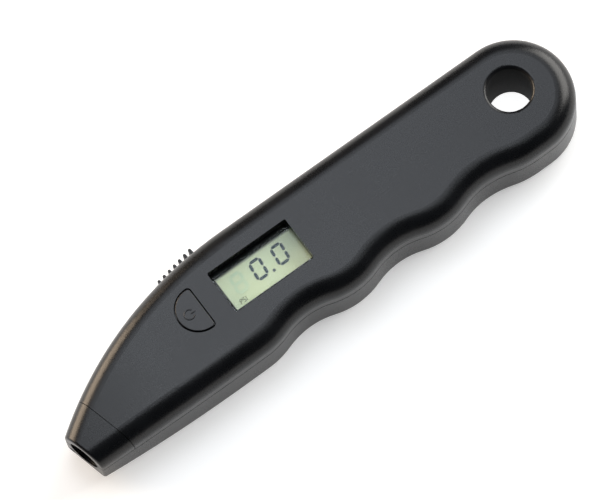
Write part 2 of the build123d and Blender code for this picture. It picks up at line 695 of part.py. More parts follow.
def plus_contact():
    x, y = CELL_CENTRE[0] - CELL_R, CELL_CENTRE[1]
    return block((x - PLUS_STRIP, x), (y - PLUS_HALF, y + PLUS_HALF), (CELL_Z, BOARD_BOTTOM))


def minus_contact():
    y = CELL_CENTRE[1]
    return ribbon(MINUS_POINTS, (y - MINUS_HALF, y + MINUS_HALF), MINUS_THICK)


# ================================================================ fasteners
def screw(place, shank_r, head_r, seat_z, head_thick, top_z, cross):
    """A pan-head screw that goes in from below, with a cross recess."""
    body = post(place, shank_r, (seat_z - 0.1, top_z))
    body += post(place, head_r, (seat_z - head_thick, seat_z))
    length, width, depth = cross
    low = seat_z - head_thick
    for size in ((length, width), (width, length)):
        body -= Pos(*place, low + depth / 2) * Box(*size, depth)
    return body


def housing_screws():
    return [screw(at, SCREW_R, HEAD_R, HEAD_SEAT_Z, HEAD_THICK, SCREW_TOP, CROSS) for at in SCREWS]


def board_screws():
    head_r, head_thick = BOARD_HEAD
    cross = tuple(size * head_r / HEAD_R for size in CROSS)
    sizes = (BOARD_SCREW_R, head_r, BOARD_BOTTOM, head_thick, BOARD_SCREW_TOP, cross)
    return [screw(at, *sizes) for at in BOARD_SCREWS]


def solids_of(shape):
    """A node's solids, as one shape to export."""
    if isinstance(shape, list):
        return Compound(children=[piece.solids()[0] for piece in shape])
    found = shape.solids()
    return found[0] if len(found) == 1 else Compound(children=list(found))


half = upper_half()
NODES = {
    "lower_shell": lower_shell(),
    "upper_shell": upper_shell(half),
    "nose_cover": nose_cover(half),
    "valve_nozzle": valve_nozzle(),
    "nozzle_ring": nozzle_ring(),
    "nozzle_seal": nozzle_seal(),
    "valve_pin": valve_pin(),
    "air_tube": air_tube(),
    "pressure_sensor": pressure_sensor(),
    "sensor_leads": sensor_leads(),
    "window_lens": window_lens(),
    "lcd_panel": lcd_panel(),
    "display_frame": display_frame(),
    "contact_strip_back": contact_strip(1),
    "contact_strip_front": contact_strip(-1),
    "circuit_board": circuit_board(),
    "controller_chip": under_board(CHIP_CENTRE, CHIP),
    "board_capacitors": board_capacitors(),
    "dome_switch": dome_switch(),
    "power_button": power_button(),
    "thumb_slide": thumb_slide(),
    "slide_carriage": slide_carriage(),
    "position_wiper": position_wiper(),
    "tread_probe": tread_probe(),
    "coin_cell": coin_cell(),
    "plus_contact": plus_contact(),
    "minus_contact": minus_contact(),
    "battery_door": battery_door(),
    "housing_screws": housing_screws(),
    "board_screws": board_screws(),
}

os.makedirs("parts", exist_ok=True)
for name, shape in NODES.items():
    export_step(solids_of(shape), f"parts/{name}.step")
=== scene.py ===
"""The looks of a digital tyre gauge: satin moulded plastic, a crystal display, and what lies within."""

import json
import math

import bmesh
import bpy
from mathutils import Matrix, Vector


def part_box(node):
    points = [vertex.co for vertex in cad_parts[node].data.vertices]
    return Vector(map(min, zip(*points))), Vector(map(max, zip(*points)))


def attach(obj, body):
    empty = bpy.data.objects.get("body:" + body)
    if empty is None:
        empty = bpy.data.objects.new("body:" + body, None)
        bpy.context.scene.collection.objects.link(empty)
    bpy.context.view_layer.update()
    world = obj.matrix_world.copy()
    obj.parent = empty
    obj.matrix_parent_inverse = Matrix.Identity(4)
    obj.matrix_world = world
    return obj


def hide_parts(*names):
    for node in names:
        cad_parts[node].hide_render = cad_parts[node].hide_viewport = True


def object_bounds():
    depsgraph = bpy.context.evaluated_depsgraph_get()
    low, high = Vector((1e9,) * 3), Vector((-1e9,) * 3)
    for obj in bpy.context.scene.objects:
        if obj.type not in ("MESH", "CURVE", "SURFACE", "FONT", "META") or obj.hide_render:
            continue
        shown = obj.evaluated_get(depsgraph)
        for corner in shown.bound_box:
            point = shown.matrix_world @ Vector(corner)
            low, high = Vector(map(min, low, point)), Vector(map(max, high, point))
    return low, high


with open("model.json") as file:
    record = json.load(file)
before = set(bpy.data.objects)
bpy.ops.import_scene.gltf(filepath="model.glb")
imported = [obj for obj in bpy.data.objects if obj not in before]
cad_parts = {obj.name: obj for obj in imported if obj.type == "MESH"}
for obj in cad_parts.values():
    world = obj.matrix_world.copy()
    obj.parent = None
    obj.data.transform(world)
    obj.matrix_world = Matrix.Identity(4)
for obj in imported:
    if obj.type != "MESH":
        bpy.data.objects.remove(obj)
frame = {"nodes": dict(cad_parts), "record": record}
cad_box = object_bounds()

MM = 0.001
HAIR = 1e-7  # closer than this, two points are one
FULL_TURN = 2 * math.pi


# ================================================================ camera and lights
SENSOR_WIDE = 36.0
LENS_LONG = 300.0
CAMERA_RIGHT = Vector((0.80953441, -0.58350109, -0.06465696))
CAMERA_UP = Vector((0.57157987, 0.75824199, 0.3136328))
# from the top of the hanging hole: to the left, down and away, in metres
CAMERA_PLACE = (0.05501, 0.04222, 1.31334)

# name, direction from the gauge, reach, width and height in metres, radiance, tint
SOFTBOXES = [
    ("overhead softbox", (0.10, 0.38, 0.92), 1.2, (1.25, 0.95), 1.75, (0.87, 0.92, 1.0)),
    ("centre softbox", (0.13, 0.33, 0.93), 1.1, (0.32, 0.36), 3.0, (0.87, 0.92, 1.0)),
    ("strip softbox", (0.10, 0.06, 0.99), 1.15, (1.2, 0.14), 2.6, (0.9, 0.96, 1.0)),
    ("butt softbox", (0.84, 0.13, 0.42), 1.3, (1.25, 0.9), 7.5, (1.0, 0.98, 0.94)),
    ("warm softbox", (-0.48, 0.82, 0.28), 1.3, (0.95, 0.8), 11.0, (1.0, 0.80, 0.60)),
]
ROOM_TINT = (0.85, 0.92, 1.0, 1.0)
ROOM_GLOW = 0.07


def aim_camera():
    """A long lens above the display; the gauge lies aslant, its nose towards the lower left."""
    data = bpy.data.cameras.new("camera")
    camera = bpy.data.objects.new("camera", data)
    bpy.context.scene.collection.objects.link(camera)
    bpy.context.scene.camera = camera
    data.sensor_width = SENSOR_WIDE
    data.lens = LENS_LONG
    data.clip_start = 0.05
    data.clip_end = 20.0
    data.dof.use_dof = False
    right = CAMERA_RIGHT.normalized()
    back = right.cross(CAMERA_UP).normalized()
    up = back.cross(right)
    left, down, away = CAMERA_PLACE
    hole = Vector((0.0, 0.0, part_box("upper_shell")[1].z))
    eye = hole - right * left - up * down + back * away
    camera.matrix_world = Matrix((
        (right.x, up.x, back.x, eye.x),
        (right.y, up.y, back.y, eye.y),
        (right.z, up.z, back.z, eye.z),
        (0, 0, 0, 1),
    ))


def light_studio():
    """Softboxes that face the gauge's middle, each with an even radiance, in a dim room."""
    low, high = cad_box
    middle = (Vector(low) + Vector(high)) / 2
    for name, direction, reach, (wide, tall), radiance, tint in SOFTBOXES:
        data = bpy.data.lights.new(name, "AREA")
        data.shape = "RECTANGLE"
        data.size, data.size_y = wide, tall
        data.energy = radiance * math.pi * wide * tall
        data.color = tint
        light = bpy.data.objects.new(name, data)
        bpy.context.scene.collection.objects.link(light)
        outward = Vector(direction).normalized()
        light.location = middle + outward * reach
        light.rotation_euler = (-outward).to_track_quat("-Z", "Y").to_euler()
    world = bpy.data.worlds.new("room")
    world.use_nodes = True
    backdrop = world.node_tree.nodes["Background"]
    backdrop.inputs["Color"].default_value = ROOM_TINT
    backdrop.inputs["Strength"].default_value = ROOM_GLOW
    bpy.context.scene.world = world
    bpy.context.scene.view_settings.view_transform = "Standard"


# ================================================================ shader building
class Value:
    """A number that varies over a surface, with ordinary arithmetic."""

    def __init__(self, paint, socket):
        self.paint, self.socket = paint, socket

    def math(self, operation, *others):
        values = dict(enumerate([self, *others]))
        node = self.paint.node("ShaderNodeMath", {"operation": operation}, values)
        return Value(self.paint, node.outputs[0])

    def __add__(self, other):
        return self.math("ADD", other)

    def __sub__(self, other):
        return self.math("SUBTRACT", other)

    def __rsub__(self, other):
        return (self * -1.0).math("ADD", other)

    def __mul__(self, other):
        return self.math("MULTIPLY", other)

    def __truediv__(self, other):
        return self.math("DIVIDE", other)

    __radd__ = __add__
    __rmul__ = __mul__

    def ramp(self, low, high):
        """0 below low, 1 above high, smooth between."""
        settings = {"interpolation_type": "SMOOTHSTEP"}
        values = {"Value": self, "From Min": low, "From Max": high}
        node = self.paint.node("ShaderNodeMapRange", settings, values)
        return Value(self.paint, node.outputs["Result"])


class Paint:
    """A material being built: noise, mixes and bumps in the piece's own coordinates, in metres."""

    def __init__(self, name, **fixed):
        self.material = bpy.data.materials.new(name)
        self.material.use_nodes = True
        self.tree = self.material.node_tree
        self.tree.nodes.clear()
        self.output = self.tree.nodes.new("ShaderNodeOutputMaterial")
        self.skin = self.node("ShaderNodeBsdfPrincipled", {}, fixed)
        self.tree.links.new(self.skin.outputs[0], self.output.inputs["Surface"])
        self.place = self.node("ShaderNodeTexCoord").outputs["Object"]

    def node(self, kind, settings=None, values=None):
        """A node of a kind: its settings come first, then its sockets' values or links."""
        node = self.tree.nodes.new(kind)
        for name, setting in (settings or {}).items():
            setattr(node, name, setting)
        for name, value in (values or {}).items():
            if isinstance(value, Value):
                value = value.socket
            if isinstance(value, bpy.types.NodeSocket):
                self.tree.links.new(value, node.inputs[name])
            else:
                node.inputs[name].default_value = value
        return node

    def set(self, **values):
        """Links values to the skin's sockets; an underscore stands for a space."""
        for name, value in values.items():
            socket = value.socket if isinstance(value, Value) else value
            self.tree.links.new(socket, self.skin.inputs[name.replace("_", " ")])
        return self

    def axis(self, name):
        return Value(self, self.node("ShaderNodeSeparateXYZ", {}, {0: self.place}).outputs[name])

    def from_hole(self):
        """The distance from the hanging hole's axis."""
        x, y = self.axis("X"), self.axis("Y")
        return (x * x + y * y).math("SQRT")

    def stretched(self, scale, turn=0.0):
        """The piece's coordinates, turned about Z and stretched."""
        values = {"Vector": self.place, "Rotation": (0, 0, turn), "Scale": scale}
        return self.node("ShaderNodeMapping", {}, values).outputs[0]

    def noise(self, size, detail=2.0, rough=0.5, place=None):
        """Cloudy noise with blobs of about a given size."""
        values = {"Vector": place or self.place, "Scale": 1 / size, "Detail": detail, "Roughness": rough}
        return Value(self, self.node("ShaderNodeTexNoise", {}, values).outputs[0])

    def cells(self, size):
        """Pebbled cells of about a given size."""
        values = {"Vector": self.place, "Scale": 1 / size}
        return Value(self, self.node("ShaderNodeTexVoronoi", {}, values).outputs["Distance"])

    def mix(self, amount, first, second):
        """A colour between two colours."""
        def whole(color):
            return color if isinstance(color, bpy.types.NodeSocket) else (*color, 1.0)
        values = {0: amount, 6: whole(first), 7: whole(second)}
        return self.node("ShaderNodeMix", {"data_type": "RGBA"}, values).outputs[2]

    def bump(self, height, depth):
        values = {"Height": height, "Distance": depth, "Strength": 1.0}
        return self.node("ShaderNodeBump", {}, values).outputs[0]


def lighter(color, gain, lift=0.0):
    return tuple(min(c * gain + lift, 1.0) for c in color)


# ================================================================ finishes
HOLE_RADIUS = 6.0 * MM
# the display's dark border, partly print and partly painted shadow of the window's walls, soft along the
# upper edge: its left, right, lower and upper edges, and how soft they are
BORDER_AND_SHADOW = (-92.15 * MM, -68.1 * MM, -5.2 * MM, 4.75 * MM)
CRISP, HAZY = 0.08 * MM, 0.5 * MM


def moulded(name, color, rough, grain=0.22 * MM, depth=0.012 * MM, index=1.36, bore=0.0):
    """Spark-textured moulded plastic: fine grain, slow mottling, handling marks, and a matt bore."""
    p = Paint(name, IOR=index)
    mottle = p.noise(18 * MM, 3.0)
    rub = p.noise(4 * MM, 4.0, 0.7, p.stretched((0.25, 1.0, 1.0), 0.3)).ramp(0.62, 0.8)
    speck = p.noise(grain * 1.7, 1.0)
    shade = p.mix(mottle.ramp(0.35, 0.7), color, lighter(color, 1.5, 0.001))
    shade = p.mix(rub * 0.22, shade, lighter(color, 2.6, 0.01))
    gloss = rough + (mottle - 0.5) * 0.08 + (speck - 0.5) * 0.06 - rub * 0.05
    if bore:
        inside = 1.0 - p.from_hole().ramp(bore + 0.1 * MM, bore + 0.4 * MM)
        gloss = gloss + inside * 0.55
    p.set(Base_Color=shade, Roughness=gloss)
    relief = p.cells(grain) * 0.6 + p.noise(grain * 0.6, 2.0) * 0.4
    return p.set(Normal=p.bump(relief, depth)).material


def soft_rubber(name, color, rough=0.72):
    """Matt rubber with a little bloom and dust."""
    p = Paint(name, IOR=1.45)
    bloom = p.noise(2 * MM, 4.0, 0.6)
    dust = p.noise(0.3 * MM, 2.0).ramp(0.55, 0.75)
    shade = p.mix(bloom.ramp(0.4, 0.75), color, lighter(color, 1.7, 0.01))
    shade = p.mix(dust * 0.15, shade, (0.3, 0.3, 0.3))
    p.set(Base_Color=shade, Roughness=rough + (bloom - 0.5) * 0.2)
    return p.set(Normal=p.bump(p.noise(0.15 * MM, 3.0), 0.01 * MM)).material


def worked_metal(name, color, rough=0.3, stretch=(1.0, 1.0, 1.0), turn=0.0, tarnish=(0.2, 0.14, 0.08)):
    """Metal with tool marks along one direction and a little tarnish in patches."""
    p = Paint(name, Metallic=1.0)
    marks = p.noise(0.25 * MM, 3.0, 0.6, p.stretched(stretch, turn))
    patch = p.noise(2.5 * MM, 4.0, 0.6).ramp(0.55, 0.8)
    shade = p.mix(marks, lighter(color, 0.8), lighter(color, 1.12))
    gloss = rough + (marks - 0.5) * 0.16 + patch * 0.12
    p.set(Base_Color=p.mix(patch * 0.3, shade, tarnish), Roughness=gloss)
    return p.set(Normal=p.bump(marks, 0.006 * MM)).material


def clear_acrylic(name):
    """A clear window: sight and light go straight through, and its face shines by Fresnel."""
    p = Paint(name)
    p.tree.nodes.remove(p.skin)
    wipe = p.noise(6 * MM, 3.0, 0.6, p.stretched((0.3, 1.0, 1.0), 0.5))
    shine = p.node("ShaderNodeBsdfGlossy", {}, {"Color": (1, 1, 1, 1), "Roughness": 0.03})
    clear = p.node("ShaderNodeBsdfTransparent", {}, {"Color": (0.95, 0.97, 0.955, 1)})
    fresnel = Value(p, p.node("ShaderNodeFresnel", {}, {"IOR": 1.47}).outputs[0])
    values = {0: fresnel * (0.14 + wipe * 0.08), 1: clear.outputs[0], 2: shine.outputs[0]}
    mixed = p.node("ShaderNodeMixShader", {}, values)
    p.tree.links.new(mixed.outputs[0], p.output.inputs["Surface"])
    return p.material


def crystal_panel(name):
    """The display's yellow-green background, with a painted sheen that pales it towards the upper right, and
    a black border that is partly print and partly painted shadow.
    """
    p = Paint(name, IOR=1.2)
    drift = p.noise(12 * MM, 2.0)
    grain = p.noise(0.12 * MM, 1.0)
    x, y = p.axis("X"), p.axis("Y")
    left, right, lower, upper = BORDER_AND_SHADOW
    # the dark border is partly print and partly painted shadow of the window's walls; its soft upper edge is
    # all painted shadow
    border_and_shadow = (left - x).ramp(-CRISP, CRISP).math("MAXIMUM", (x - right).ramp(-CRISP, CRISP))
    border_and_shadow = border_and_shadow.math("MAXIMUM", (lower - y).ramp(-CRISP, CRISP))
    border_and_shadow = border_and_shadow.math("MAXIMUM", (y - upper).ramp(-HAZY, HAZY))
    # a painted highlight: the crystal is painted paler towards the upper right, standing in for the window's
    # sheen
    painted_sheen = (x - left) / (2 * (right - left)) + (y - lower) / (2 * (upper - lower))
    shade = p.mix(painted_sheen, (0.53, 0.60, 0.45), (0.78, 0.81, 0.60))
    shade = p.mix(drift.ramp(0.3, 0.7) * 0.3, shade, (0.67, 0.69, 0.44))
    shade = p.mix(grain * 0.12, shade, (0.55, 0.6, 0.38))
    # paints the border and the painted shadow near black
    shade = p.mix(border_and_shadow, shade, (0.0035, 0.004, 0.004))
    p.set(Base_Color=shade, Roughness=0.42 + (grain - 0.5) * 0.1)
    return p.set(Normal=p.bump(grain, 0.003 * MM)).material


def crystal_ink(name, color, rough=0.4):
    """A darkened crystal segment, uneven at a fine scale."""
    p = Paint(name)
    grain = p.noise(0.2 * MM, 2.0)
    shade = p.mix(grain, color, lighter(color, 1.15, 0.008))
    return p.set(Base_Color=shade, Roughness=rough + (grain - 0.5) * 0.1).material


def zebra_rubber(name):
    """Conducting rubber: thin dark and pale layers across the strip."""
    p = Paint(name)
    layers = (p.axis("X") * (FULL_TURN / (0.18 * MM))).math("SINE").ramp(-0.3, 0.3)
    shade = p.mix(layers, (0.03, 0.03, 0.035), (0.35, 0.42, 0.5))
    return p.set(Base_Color=shade, Roughness=0.6 + layers * 0.15).material


def board_laminate(name):
    """Green lacquer over copper tracks, with the glass weave just showing."""
    p = Paint(name, IOR=1.5)
    x, y = p.axis("X"), p.axis("Y")
    bend = p.noise(9 * MM, 1.0)
    track = ((x * 0.3 + y) / (1.1 * MM) + bend * 5.0).math("FRACT").ramp(0.4, 0.5)
    zone = p.noise(6 * MM, 0.0).ramp(0.48, 0.52)
    weave = (x * 9000).math("SINE") * (y * 9000).math("SINE")
    shade = p.mix(track * zone, (0.012, 0.1, 0.04), (0.03, 0.19, 0.08))
    shade = p.mix(weave.ramp(0.2, 1.0) * 0.2, shade, (0.05, 0.22, 0.1))
    p.set(Base_Color=shade, Roughness=0.32 + track * 0.1)
    return p.set(Normal=p.bump(track * zone, 0.02 * MM)).material


def ceramic_caps(name):
    """Tan speckled ceramic."""
    p = Paint(name)
    grain = p.noise(0.3 * MM, 2.0)
    shade = p.mix(grain, (0.38, 0.27, 0.16), (0.5, 0.38, 0.24))
    return p.set(Base_Color=shade, Roughness=0.35 + grain * 0.2).material


def epoxy(name):
    """Black moulded epoxy, dull and finely grained."""
    p = Paint(name)
    grain = p.noise(0.15 * MM, 3.0)
    shade = p.mix(grain, (0.012, 0.012, 0.013), (0.03, 0.03, 0.032))
    p.set(Base_Color=shade, Roughness=0.5 + grain * 0.2)
    return p.set(Normal=p.bump(grain, 0.01 * MM)).material


BLACK = (0.0020, 0.0023, 0.0029)
GREY_FILM = (0.3, 0.3, 0.3)
ALONG_X, ALONG_Y, ALONG_Z = (0.1, 1.0, 1.0), (1.0, 0.2, 1.0), (1.0, 1.0, 0.3)
FINISHES = {
    "casing": moulded("satin black casing", BLACK, 0.28, bore=HOLE_RADIUS),
    "button": moulded("satin black button", (0.0046, 0.005, 0.006), 0.29, 0.2 * MM),
    "slide": moulded("black slide", (0.006, 0.006, 0.0065), 0.4, 0.2 * MM),
    "door": moulded("satin black door", (0.005, 0.0054, 0.0062), 0.36),
    "nozzle": moulded("smooth black nozzle", (0.004, 0.004, 0.0045), 0.3, 0.3 * MM, 0.004 * MM),
    "carriage": moulded("natural acetal", (0.62, 0.61, 0.57), 0.4, 0.3 * MM, 0.006 * MM, 1.48),
    "frame": moulded("black display frame", (0.003, 0.003, 0.003), 0.6, 0.2 * MM),
    "rubber": soft_rubber("black seal rubber", (0.012, 0.012, 0.013)),
    "tube": soft_rubber("grey silicone", (0.42, 0.43, 0.43), 0.45),
    "strip": zebra_rubber("layered conducting rubber"),
    "brass": worked_metal("turned brass", (0.78, 0.56, 0.24), 0.28),
    "leads": worked_metal("gilded leads", (0.85, 0.65, 0.3), 0.25),
    "spring_metal": worked_metal("plated bronze", (0.75, 0.6, 0.4), 0.3, ALONG_X),
    "sensor": worked_metal("drawn steel can", (0.62, 0.63, 0.65), 0.32, ALONG_X, 0.25, GREY_FILM),
    "steel": worked_metal("ground steel", (0.7, 0.7, 0.72), 0.22, (0.08, 1.0, 1.0), 0.25, (0.35, 0.34, 0.33)),
    "switch": worked_metal("dome steel", (0.72, 0.72, 0.7), 0.25, ALONG_Y, 0.0, GREY_FILM),
    "cell": worked_metal("nickelled cell", (0.78, 0.78, 0.79), 0.27, (0.15, 1.0, 1.0), 0.0, (0.4, 0.4, 0.4)),
    "screw": worked_metal("blackened steel", (0.09, 0.09, 0.1), 0.38, ALONG_Z, 0.0, (0.12, 0.1, 0.08)),
    "lens": clear_acrylic("clear window"),
    "lcd": crystal_panel("crystal panel"),
    "board": board_laminate("green laminate"),
    "capacitors": ceramic_caps("tan ceramic"),
    "chip": epoxy("black epoxy"),
}
SEGMENT = crystal_ink("dark segment", (0.012, 0.032, 0.045))
GHOST = crystal_ink("unlit segment", (0.45, 0.56, 0.40))
MARK = crystal_ink("faint mark", (0.09, 0.11, 0.05))


def dress(piece, finish):
    piece.data.materials.clear()
    piece.data.materials.append(finish)


def dress_nodes():
    """Every CAD node takes its slot's finish."""
    for part in frame["record"]["subparts"]:
        dress(frame["nodes"][part["node"]], FINISHES[part["material_slot"]])


# ================================================================ mesh tools
def mesh_from(name, build):
    """A mesh from a function that fills a bmesh."""
    mesh = bpy.data.meshes.new(name)
    bm = bmesh.new()
    build(bm)
    bm.to_mesh(mesh)
    bm.free()
    return mesh


def settle(piece, body, slot, finish, *stands_for):
    """Gives a piece its finish, its body and the nodes it stands for; its slot is not used."""
    if piece.name not in bpy.context.scene.collection.objects:
        bpy.context.scene.collection.objects.link(piece)
    dress(piece, finish)
    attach(piece, body)
    if stands_for:
        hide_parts(*stands_for)


def piece_from(name, build, body, slot, finish, *stands_for):
    """A new piece from a function that fills a bmesh, settled on its body."""
    piece = bpy.data.objects.new(name, mesh_from(name, build))
    settle(piece, body, slot, finish, *stands_for)
    return piece


def placed(name, mesh):
    """A new object in the scene that isn't a piece of the gauge."""
    thing = bpy.data.objects.new(name, mesh)
    bpy.context.scene.collection.objects.link(thing)
    return thing


def worked(thing):
    """The plain mesh that an object's modifiers make."""
    bpy.context.view_layer.update()
    seen = thing.evaluated_get(bpy.context.evaluated_depsgraph_get())
    return bpy.data.meshes.new_from_object(seen)


def weld(mesh):
    """Merges a mesh's doubles and turns its faces outwards."""
    bm = bmesh.new()
    bm.from_mesh(mesh)
    bmesh.ops.remove_doubles(bm, verts=bm.verts, dist=HAIR)
    bmesh.ops.recalc_face_normals(bm, faces=bm.faces)
    bm.to_mesh(mesh)
    bm.free()


def shade_smooth(piece, angle=35):
    """Smooth shading that keeps edges sharper than an angle, in degrees, crisp."""
    piece.data.shade_smooth()
    piece.data.set_sharp_from_angle(angle=math.radians(angle))


def box_outline(low_x, low_y, high_x, high_y):
    return [(low_x, low_y), (high_x, low_y), (high_x, high_y), (low_x, high_y)]


def plate(bm, outline, low, high, transform=Matrix.Identity(4)):
    """A flat plate from a closed outline, between two heights."""
    bottom = [bm.verts.new(transform @ Vector((x, y, low))) for x, y in outline]
    top = [bm.verts.new(transform @ Vector((x, y, high))) for x, y in outline]
    bm.faces.new(list(reversed(bottom)))
    bm.faces.new(top)
    for i in range(len(outline)):
        j = (i + 1) % len(outline)
        bm.faces.new((bottom[i], bottom[j], top[j], top[i]))


def lathe(bm, profile, steps):
    """A closed turned shape from (radius, height) points; a point on the axis closes an end."""
    angles = [FULL_TURN * i / steps for i in range(steps)]
    rings = []
    for radius, height in profile:
        if radius < HAIR:
            rings.append([bm.verts.new((0, 0, height))])
        else:
            spots = [(radius * math.cos(a), radius * math.sin(a), height) for a in angles]
            rings.append([bm.verts.new(spot) for spot in spots])
    for below, above in zip(rings, rings[1:]):
        for i in range(steps):
            j = (i + 1) % steps
            corners = [below[i % len(below)], below[j % len(below)]]
            corners += [above[j % len(above)], above[i % len(above)]]
            bm.faces.new(list(dict.fromkeys(corners)))


def join_solid(piece, bevel):
    """Joins a piece's overlapping solids into one skin and rounds its edges a little."""
    weld(piece.data)
    bpy.context.scene.collection.objects.link(piece)
    nothing = placed("nothing", bpy.data.meshes.new("nothing"))
    union = piece.modifiers.new("join", "BOOLEAN")
    union.operation = "UNION"
    union.solver = "EXACT"
    union.use_self = True
    union.object = nothing
    edge = piece.modifiers.new("edge", "BEVEL")
    edge.width = bevel
    edge.segments = 2
    edge.limit_method = "ANGLE"
    edge.angle_limit = math.radians(50)
    mesh = worked(piece)
    piece.modifiers.clear()
    mesh.name = piece.data.name
    piece.data = mesh
    bpy.data.objects.remove(nothing)
    shade_smooth(piece)


# ================================================================ geometry node trees
class Growth:
    """A geometry node tree being built, with named inputs and one finish."""

    def __init__(self, name):
        self.tree = bpy.data.node_groups.new(name, "GeometryNodeTree")
        self.tree.interface.new_socket("Geometry", in_out="OUTPUT", socket_type="NodeSocketGeometry")
        self.source = self.tree.nodes.new("NodeGroupInput")
        self.sink = self.tree.nodes.new("NodeGroupOutput")
        self.sizes = {}

    def size(self, name, value, kind="NodeSocketFloat"):
        """A named input; its socket carries the value through the tree."""
        socket = self.tree.interface.new_socket(name, in_out="INPUT", socket_type=kind)
        self.sizes[socket.identifier] = value
        return next(s for s in self.source.outputs if s.identifier == socket.identifier)

    def node(self, kind, values=None, **settings):
        node = self.tree.nodes.new(kind)
        for name, setting in settings.items():
            setattr(node, name, setting)
        for name, value in (values or {}).items():
            if isinstance(value, bpy.types.NodeSocket):
                self.tree.links.new(value, node.inputs[name])
            else:
                node.inputs[name].default_value = value
        return node

    def shape(self, kind, values=None):
        """The first output of a node of a kind."""
        return self.node(kind, values).outputs[0]

    def math(self, operation, first, second):
        return self.node("ShaderNodeMath", {0: first, 1: second}, operation=operation).outputs[0]

    def vector(self, x=0.0, y=0.0, z=0.0):
        return self.shape("ShaderNodeCombineXYZ", {"X": x, "Y": y, "Z": z})

    def index(self):
        return self.shape("GeometryNodeInputIndex")

    def joined(self, *parts):
        joint = self.node("GeometryNodeJoinGeometry")
        for part in parts:
            self.tree.links.new(part, joint.inputs[0])
        return joint.outputs[0]

    def on_points(self, points, instance, **values):
        """A shape at every point, with its Rotation or Scale."""
        return self.shape("GeometryNodeInstanceOnPoints", {"Points": points, "Instance": instance, **values})

    def grown(self, geometry, finish, name):
        """Realizes the tree, sets its finish, and returns the result as a plain mesh object."""
        real = self.shape("GeometryNodeRealizeInstances", {"Geometry": geometry})
        painted = self.shape("GeometryNodeSetMaterial", {"Geometry": real, "Material": finish})
        self.tree.links.new(painted, self.sink.inputs[0])
        carrier = placed(name + "_carrier", bpy.data.meshes.new(name + "_carrier"))
        modifier = carrier.modifiers.new("growth", "NODES")
        modifier.node_group = self.tree
        for identifier, value in self.sizes.items():
            modifier[identifier] = value
        mesh = worked(carrier)
        mesh.name = name
        bpy.data.objects.remove(carrier)
        return bpy.data.objects.new(name, mesh)


# ================================================================ the slide's ribs
SLIDE_TURN = math.radians(194.5)
SLIDE_MIDDLE = Vector((-97.95, 14.26, 0)) * MM
PAD_LEAN = math.radians(6.8)
PAD_HALF, PAD_FACE, PAD_ROOT = 7.2 * MM, 0.2 * MM, 2.3 * MM
WEB_SINK = 0.4 * MM
NECK = box_outline(-2.5 * MM, 1.8 * MM, 2.5 * MM, 5.4 * MM)
NECK_LOW, NECK_HIGH = 9.7 * MM, 11.3 * MM
PAD_EDGE = 0.07 * MM


def thumb_pad():
    """The ribbed thumb pad: rounded fins on a block, and the neck through the casing's slit."""
    low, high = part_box("thumb_slide")
    floor, ceiling = low.z, high.z
    growth = Growth("ribbed thumb pad")
    count = growth.size("ribs", 7, "NodeSocketInt")
    pitch = growth.size("rib pitch", 1.93 * MM)
    thick = growth.size("rib thickness", 0.85 * MM)
    first = growth.size("nearest rib's reach", 1.4 * MM)
    rise = growth.size("reach gained per rib", 0.12 * MM)
    tall = growth.size("height", ceiling - floor)
    middle = growth.size("middle height", (floor + ceiling) / 2)
    span = growth.math("MULTIPLY", growth.math("SUBTRACT", count, 1), pitch)
    row = growth.shape("GeometryNodeMeshLine", {
        "Count": count,
        "Start Location": growth.vector(growth.math("MULTIPLY", span, 0.5)),
        "Offset": growth.vector(growth.math("MULTIPLY", pitch, -1.0)),
    })
    reach = growth.math("ADD", first, growth.math("MULTIPLY", growth.index(), rise))
    tip = growth.math("SUBTRACT", growth.math("MULTIPLY", thick, 0.5), reach)
    offset = growth.vector(0.0, tip, middle)
    tips = growth.shape("GeometryNodeSetPosition", {"Geometry": row, "Offset": offset})
    # each fin is a round tip and, behind it, a web that runs into the block
    round_tip = growth.shape("GeometryNodeMeshCylinder", {"Vertices": 24, "Radius": 0.5, "Depth": 1.0})
    cube = growth.shape("GeometryNodeMeshCube", {"Size": (1.0, 1.0, 1.0)})
    web = growth.shape("GeometryNodeTransform", {"Geometry": cube, "Translation": (0, 0.5, 0)})
    deep = growth.math("ADD", reach, WEB_SINK)
    fins = growth.on_points(tips, round_tip, Scale=growth.vector(thick, thick, tall))
    webs = growth.on_points(tips, web, Scale=growth.vector(thick, deep, tall))
    piece = growth.grown(growth.joined(fins, webs), FINISHES["slide"], "ribbed_thumb_pad")

    to_slide = Matrix.Translation(SLIDE_MIDDLE) @ Matrix.Rotation(SLIDE_TURN, 4, "Z")
    to_face = Matrix.Translation((0, PAD_FACE, 0)) @ Matrix.Rotation(-PAD_LEAN, 4, "Z")
    piece.data.transform(to_slide @ to_face)
    lean = PAD_HALF * math.tan(PAD_LEAN)
    front = [(-PAD_HALF, PAD_FACE + lean), (PAD_HALF, PAD_FACE - lean)]
    block = front + [(PAD_HALF, PAD_ROOT), (-PAD_HALF, PAD_ROOT)]
    bm = bmesh.new()
    bm.from_mesh(piece.data)
    plate(bm, block, floor, ceiling, to_slide)
    plate(bm, NECK, NECK_LOW, NECK_HIGH, to_slide)
    bm.to_mesh(piece.data)
    bm.free()
    join_solid(piece, PAD_EDGE)
    settle(piece, "tread_slide", "slide", FINISHES["slide"], "thumb_slide")


